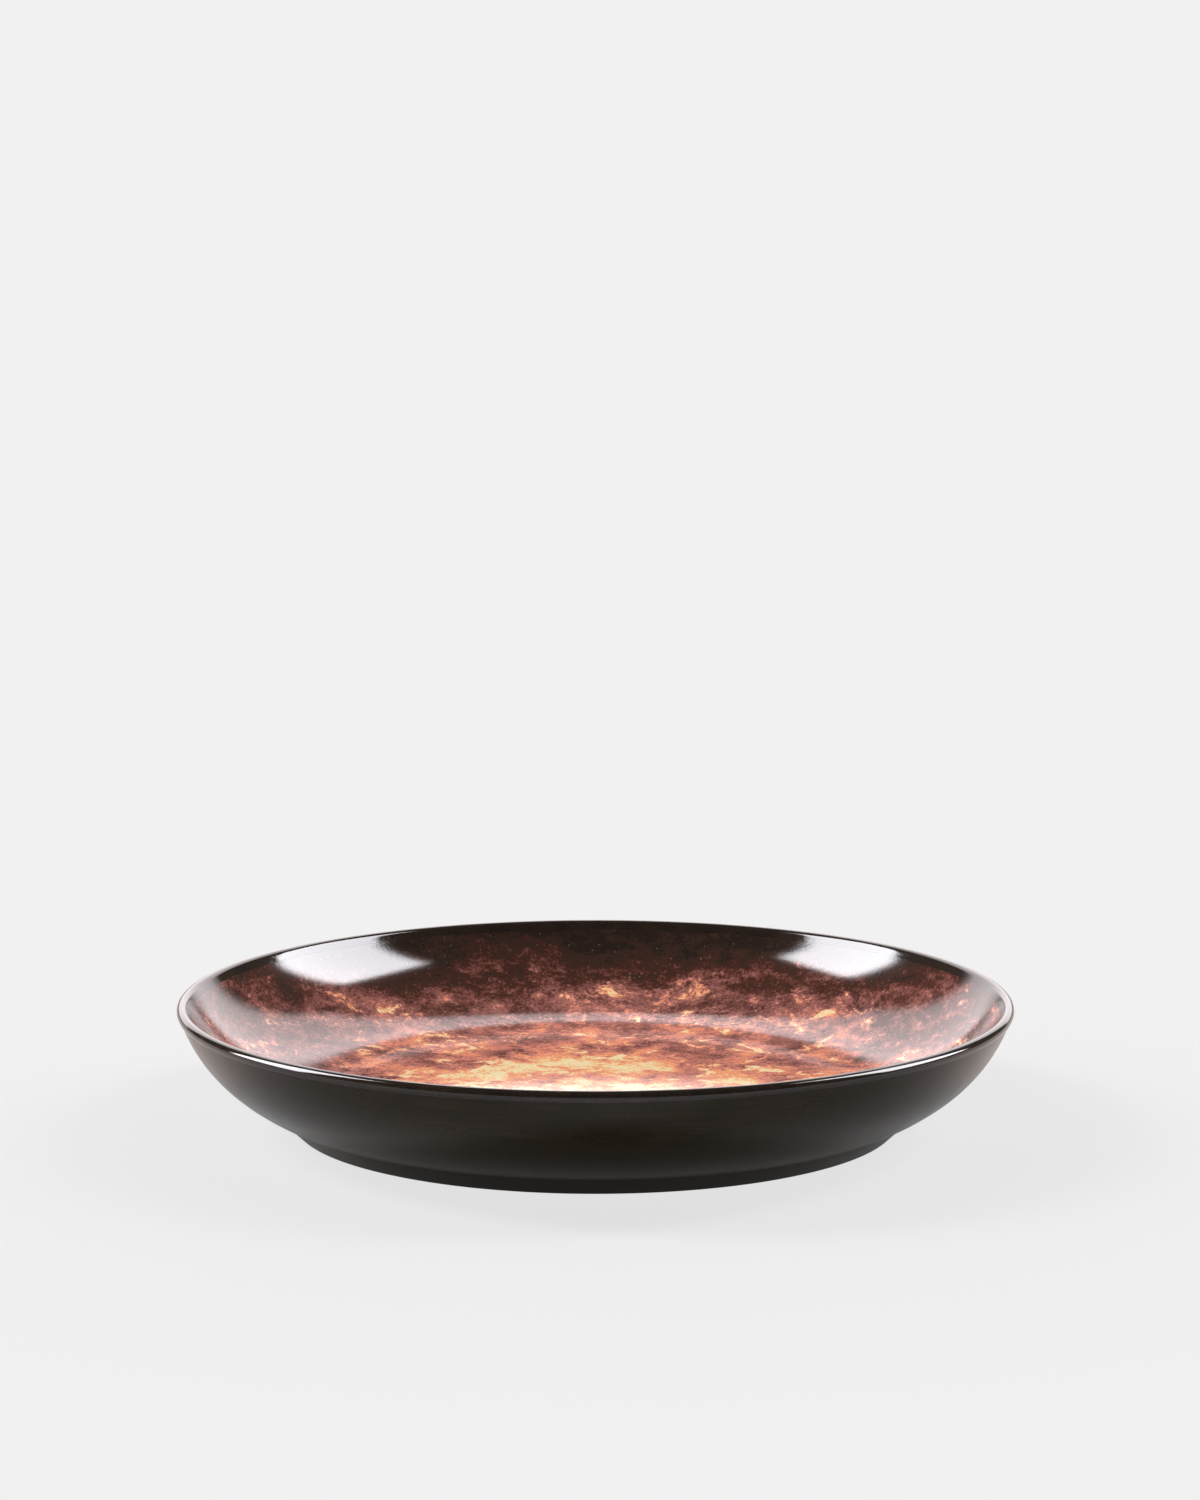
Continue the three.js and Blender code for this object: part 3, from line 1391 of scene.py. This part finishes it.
@dataclass
class OuterSatinCoat(TurnedPiece):
    """Satin coat on the outer wall, ending in a rolled edge above the foot's land."""

    roll: float = 0.22

    def section(self) -> Section:
        """Draw the coat.

        Returns:
            The outline, closed on its first point.
        """
        form = self.form
        start = form.rim_run_outside + form.clearance
        foot_run = math.radians(form.foot_outer_slope) + math.pi
        corner = form.foot_stop(form.first_level)
        outer = form.outside_line(form.first_level, start)
        outer += rounded_corner(corner, foot_run, -1, self.roll, form.round_steps)
        inner = form.outside_line(form.clearance, start) + [form.foot_stop(form.clearance)]
        return Section(outer + inner[::-1] + outer[:1], len(outer) - form.round_steps - 1)


@dataclass
class BaseSatinCoat(TurnedPiece):
    """Satin coat in the recess under the foot."""

    roll: float = 0.22

    def section(self) -> Section:
        """Draw the coat.

        Returns:
            The outline, from the axis and back to it.
        """
        form = self.form
        foot_run = -math.radians(form.foot_inner_slope)
        shown = form.base_line(form.first_level)
        shown = shown[:-1] + rounded_corner(shown[-1], foot_run, 1, self.roll, form.round_steps)
        return Section(shown + form.base_line(form.clearance)[::-1], len(shown) - form.round_steps - 1)


@dataclass
class RimGlossCoat(TurnedPiece):
    """Gloss band over the lip, standing proud of the satin coat by a small rounded step."""

    roll: float = 0.26

    def section(self) -> Section:
        """Draw the band.

        Returns:
            The outline, closed on its first point.
        """
        form = self.form
        stop = form.rim_run_outside
        outer = form.lip_line(form.top_level, stop - self.roll)
        corner = form.on_brim(form.wall / 2 + form.top_level, stop)
        outer += rounded_corner(corner, form.brim_angle + math.pi, -1, self.roll, form.round_steps)[1:]
        inner = form.lip_line(form.clearance, stop)
        return Section(outer + inner[::-1] + outer[:1], len(outer) - form.round_steps - 1)


@dataclass
class WellDecoration(TurnedPiece):
    """Coloured layer over the whole inside of the well, under the clear coat."""

    def section(self) -> Section:
        """Draw the layer.

        Returns:
            The outline, from the axis and back to it.
        """
        form = self.form
        stop = form.rim_run_inside + form.clearance
        shown = form.inside_line(form.first_level, stop)
        return Section(shown + form.inside_line(form.clearance, stop)[::-1], 0)


@dataclass
class WellClearCoat(TurnedPiece):
    """Clear gloss coat over the decoration."""

    def section(self) -> Section:
        """Draw the coat.

        Returns:
            The outline, from the axis and back to it.
        """
        form = self.form
        stop = form.rim_run_inside + form.clearance
        shown = form.inside_line(form.top_level, stop)
        under = form.inside_line(form.top_level - form.coat, stop)
        return Section(shown + under[::-1], len(shown))


# Studio


class Side(Enum):
    """Side of the plate on which a light panel stands, as the photographer sees it."""

    LEFT = "left"
    RIGHT = "right"
    BACK = "back"


@dataclass
class LightPanel:
    """An upright panel of soft light with feathered edges; sizes in metres and degrees.

    Azimuths are turns about the plate's axis from the photographer, to the right where they are positive.
    Flags shade the start and the foot of the panel, up to the given shares of its width and height, so that
    its light stays off the floor in front of the plate. A share below 0 leaves the panel open.
    """

    side: Side
    facing: float
    start: float
    end: float
    top: float
    bottom: float
    distance: float
    light: float
    glint: float
    feather: float
    flags: Span = (-1.0, -1.0)
    flag_softness: float = 0.2
    tint: str = "#fbfaff"

    SHARES: ClassVar[str] = "shares"
    MIDDLE: ClassVar[tuple[float, float, float]] = (0.5, 0.5, 0.0)

    def build(self) -> bpy.types.Object:
        """Make the glowing panel.

        Returns:
            The panel, hidden from the camera.
        """
        feet = []
        for azimuth in (self.start, self.end):
            reach = self.distance / math.cos(math.radians(azimuth - self.facing))
            turn = math.radians(azimuth)
            feet.append((reach * math.sin(turn), -reach * math.cos(turn)))
        start, end = feet
        corners = [(*start, self.bottom), (*end, self.bottom), (*end, self.top), (*start, self.top)]
        name = f"light_panel_{self.side.value}"
        mesh = bpy.data.meshes.new(name)
        mesh.from_pydata(corners, [], [(0, 1, 2, 3)])
        shares = mesh.uv_layers.new(name=self.SHARES)
        for loop, share in zip(shares.uv, ((0, 0), (1, 0), (1, 1), (0, 1))):
            loop.vector = share
        size = (math.dist(start, end), self.top - self.bottom, 0.0)
        mesh.materials.append(self._glow(name, size))
        panel = put_in_scene(name, mesh)
        panel.visible_camera = False
        return panel

    def _glow(self, name: str, size: tuple[float, float, float]) -> bpy.types.Material:
        """Make a white glow that lights at a plain level and shows as a bright panel in gloss.

        Args:
            name: Name of the material.
            size: Width and height of the panel in metres.

        Returns:
            The material.
        """
        made = blank_material(name)
        made.cycles.emission_sampling = "FRONT_BACK"
        tree = made.node_tree
        share = add_node(tree, "ShaderNodeUVMap", uv_map=self.SHARES)
        aside = add_node(tree, "ShaderNodeVectorMath", {0: share, 1: self.MIDDLE}, operation="SUBTRACT")
        aside = add_node(tree, "ShaderNodeVectorMath", {0: aside}, operation="ABSOLUTE")
        inset = add_node(tree, "ShaderNodeVectorMath", {0: self.MIDDLE, 1: aside}, operation="SUBTRACT")
        inset = add_node(tree, "ShaderNodeVectorMath", {0: inset, 1: size}, operation="MULTIPLY")
        sides = add_node(tree, "ShaderNodeSeparateXYZ", {0: inset}).outputs
        edge = add_node(tree, "ShaderNodeMath", {0: sides["X"], 1: sides["Y"]}, operation="MINIMUM")
        soft = add_node(
            tree,
            "ShaderNodeMapRange",
            {"Value": edge, "From Max": self.feather},
            interpolation_type="SMOOTHSTEP",
        )
        along = add_node(tree, "ShaderNodeSeparateXYZ", {0: share}).outputs
        plain: Node | float = self.light
        for axis, flag in zip("XY", self.flags):
            plain = add_node(
                tree,
                "ShaderNodeMapRange",
                {
                    "Value": along[axis],
                    "From Min": flag - self.flag_softness,
                    "From Max": flag + self.flag_softness,
                    "To Max": plain,
                },
                interpolation_type="SMOOTHSTEP",
            )
        rays = add_node(tree, "ShaderNodeLightPath").outputs
        shown = add_node(
            tree,
            "ShaderNodeMapRange",
            {"Value": rays["Is Glossy Ray"], "To Min": plain, "To Max": self.glint},
        )
        strength = add_node(tree, "ShaderNodeMath", {0: shown, 1: soft}, operation="MULTIPLY")
        glow = add_node(tree, "ShaderNodeEmission", {"Color": linear(self.tint), "Strength": strength})
        add_node(tree, "ShaderNodeOutputMaterial", {"Surface": glow})
        return made


@dataclass
class Floor:
    """A pale paper floor that keeps the plate's shadow and melts into the background; sizes in metres.

    It melts for the camera from one radius to another, by a least share near the plate. Gloss mirrors the
    melted floor beside and behind the plate, in a slightly warmer colour. A faint glow under the plate lifts
    the shadow at its foot.
    """

    radius: float = 1.6
    segments: int = 96
    drop: float = 0.0001
    colour: str = "#d6d6d6"
    background: str = BACKGROUND
    mirrored: str = "#f6e8e4"
    melt_start: float = 0.10
    melt_end: float = 0.36
    melt_least: float = 0.82
    mirror_end: float = 0.14
    mirror_front: float = 0.09
    glow: float = 0.12
    glow_start: float = 0.085
    glow_end: float = 0.125

    def build(self) -> bpy.types.Object:
        """Make the floor.

        Returns:
            The floor.
        """
        shape = bmesh.new()
        place = Matrix.Translation((0, 0, CAD_BOX[0].z - self.drop))
        bmesh.ops.create_circle(
            shape, cap_ends=True, segments=self.segments, radius=self.radius, matrix=place
        )
        mesh = bpy.data.meshes.new("floor")
        shape.to_mesh(mesh)
        shape.free()
        mesh.materials.append(self._paper())
        floor = put_in_scene("floor", mesh)
        return floor

    def _paper(self) -> bpy.types.Material:
        """Make matt paper that the camera sees turn into the plain background colour.

        Returns:
            The material.
        """
        made = blank_material("floor_paper")
        tree = made.node_tree
        place = add_node(tree, "ShaderNodeTexCoord").outputs["Object"]
        radius = add_node(tree, "ShaderNodeVectorMath", {0: place}, operation="LENGTH").outputs["Value"]
        rays = add_node(tree, "ShaderNodeLightPath")
        near = add_node(
            tree,
            "ShaderNodeMapRange",
            {
                "Value": radius,
                "From Min": self.glow_start,
                "From Max": self.glow_end,
                "To Min": self.glow,
                "To Max": 0.0,
            },
        )
        glow = add_node(tree, "ShaderNodeEmission", {"Strength": near})
        paper = add_node(tree, "ShaderNodeBsdfDiffuse", {"Color": linear(self.colour)})
        paper = add_node(tree, "ShaderNodeAddShader", {0: paper, 1: glow})
        shade = add_node(
            tree,
            "ShaderNodeMix",
            {
                MIX_FACTOR: rays.outputs["Is Camera Ray"],
                MIX_A: linear(self.mirrored),
                MIX_B: linear(self.background),
            },
            data_type="RGBA",
        )
        plain = add_node(tree, "ShaderNodeEmission", {"Color": shade.outputs[MIX_RESULT]})
        melted = self._melted(tree, place, radius, rays)
        mixed = add_node(tree, "ShaderNodeMixShader", {0: melted, 1: paper, 2: plain})
        add_node(tree, "ShaderNodeOutputMaterial", {"Surface": mixed})
        return made

    def _melted(self, tree: Tree, place: Socket, radius: Socket, rays: Node) -> Node:
        """Add the share by which the paper has turned into the background.

        Args:
            tree: The material's tree.
            place: Object coordinates in metres.
            radius: Distance from the plate's axis in metres.
            rays: The light path.

        Returns:
            The node that gives the share, for the camera and for gloss.
        """
        seen = rays.outputs
        away, beyond = (
            add_node(
                tree,
                "ShaderNodeMapRange",
                {"Value": radius, "From Min": self.melt_start, "From Max": end},
                interpolation_type="SMOOTHSTEP",
            )
            for end in (self.melt_end, self.mirror_end)
        )
        melt = add_node(tree, "ShaderNodeMapRange", {"Value": away, "To Min": self.melt_least})
        depth = add_node(tree, "ShaderNodeSeparateXYZ", {0: place}).outputs["Y"]
        behind = add_node(
            tree,
            "ShaderNodeMapRange",
            {"Value": depth, "From Min": -self.mirror_front, "From Max": 0.0, "To Max": beyond},
            interpolation_type="SMOOTHSTEP",
        )
        mirrored = add_node(
            tree,
            "ShaderNodeMath",
            {0: seen["Is Glossy Ray"], 1: seen["Is Transmission Ray"]},
            operation="MAXIMUM",
        )
        mirrored = add_node(tree, "ShaderNodeMath", {0: mirrored, 1: behind}, operation="MULTIPLY")
        return add_node(
            tree,
            "ShaderNodeMath",
            {0: melt, 1: seen["Is Camera Ray"], 2: mirrored},
            operation="MULTIPLY_ADD",
        )


@dataclass
class Surround:
    """A plain room: an even soft light, dim where gloss mirrors it, behind a pale background."""

    background: str = BACKGROUND
    light: float = 0.20
    glint: float = 0.10

    def build(self) -> bpy.types.World:
        """Make the world.

        Returns:
            The world, set on the scene.
        """
        world = bpy.data.worlds.new("surround")
        world.use_nodes = True
        tree = world.node_tree
        tree.nodes.clear()
        rays = add_node(tree, "ShaderNodeLightPath").outputs
        room = add_node(
            tree,
            "ShaderNodeMapRange",
            {"Value": rays["Is Glossy Ray"], "To Min": self.light, "To Max": self.glint},
        )
        colour = add_node(
            tree,
            "ShaderNodeMix",
            {MIX_FACTOR: rays["Is Camera Ray"], MIX_A: room, MIX_B: linear(self.background)},
            data_type="RGBA",
        )
        light = add_node(tree, "ShaderNodeBackground", {"Color": colour.outputs[MIX_RESULT]})
        add_node(tree, "ShaderNodeOutputWorld", {"Surface": light})
        bpy.context.scene.world = world
        return world


@dataclass
class PhotoCamera:
    """The photograph's view: sizes in metres and degrees, places in pixels, the sensor in millimetres."""

    image: tuple[int, int] = (1200, 1500)
    distance: float = 1.4721
    elevation: float = 12.4838
    aim_height: float = 0.020
    aim_pixel: Point = (595.39, 1052.69)
    focal_pixels: float = 5216.5
    sensor: float = 36.0

    def build(self) -> bpy.types.Object:
        """Make the camera and give it to the scene.

        Returns:
            The camera.
        """
        width, height = self.image
        data = bpy.data.cameras.new("photo_camera")
        data.sensor_width = self.sensor
        data.lens = self.focal_pixels * self.sensor / max(width, height)
        camera = put_in_scene("photo_camera", data)
        elevation = math.radians(self.elevation)
        lift = math.atan((self.aim_pixel[1] - height / 2) / self.focal_pixels)
        swing = math.atan((self.aim_pixel[0] - width / 2) / self.focal_pixels)
        camera.location = (
            0.0,
            -self.distance * math.cos(elevation),
            self.aim_height + self.distance * math.sin(elevation),
        )
        camera.rotation_euler = (math.pi / 2 - elevation + lift, 0.0, swing)
        bpy.context.scene.camera = camera
        return camera


def main() -> None:
    """Build the plate and its studio."""
    logging.basicConfig(level=logging.INFO, format="%(name)s: %(message)s")
    bpy.context.scene.view_settings.view_transform = "Standard"
    PhotoCamera().build()
    low, high = CAD_BOX
    form = PlateForm(rim_diameter=(high.x - low.x) / MM, height=(high.z - low.z) / MM)
    wheel = Wheel()
    satin = SatinGlaze()
    pieces: list[TurnedPiece] = [
        ClayBody(form, BareStoneware(), "clay_body", "body", "clay"),
        OuterSatinCoat(form, satin, "outer_satin_glaze", "outer_glaze", "satin_glaze", wave_height=0.03),
        BaseSatinCoat(form, satin, "base_satin_glaze", "base_glaze", "satin_glaze", wave_height=0.03),
        RimGlossCoat(form, GlossRimGlaze(), "rim_gloss_glaze", "rim_glaze", "rim_glaze", wave_height=0.04),
        WellDecoration(form, MottledSlip(), "well_decoration", "decoration", "decoration"),
        WellClearCoat(
            form, ClearGlossGlaze(), "well_clear_glaze", "inner_glaze", "clear_glaze", wave_height=0.04
        ),
    ]
    for part in pieces:
        piece = part.build(wheel)
        log.info("%s: %d faces in place of %s", piece.name, len(piece.data.polygons), part.node)
    Floor().build()
    panels = (
        LightPanel(
            Side.RIGHT, facing=67.0, start=83.2, end=119.2, top=3.2, bottom=0.5, distance=1.8,
            light=23.5, glint=15.5, feather=0.1, flags=(0.45, 0.25),
        ),
        LightPanel(
            Side.LEFT, facing=-71.0, start=-81.7, end=-113.8, top=2.6, bottom=0.17, distance=1.8,
            light=33.5, glint=17.5, feather=0.1, flags=(0.4, 0.4),
        ),
        LightPanel(
            Side.BACK, facing=180.0, start=144.0, end=219.5, top=1.8, bottom=0.0, distance=1.5,
            light=1.3, glint=2.6, feather=0.3, tint="#fff6f8",
        ),
    )
    for panel in panels:
        log.info("%s lights the plate", panel.build().name)
    Surround().build()
    log.info("studio ready")


if __name__ == "__main__":
    main()
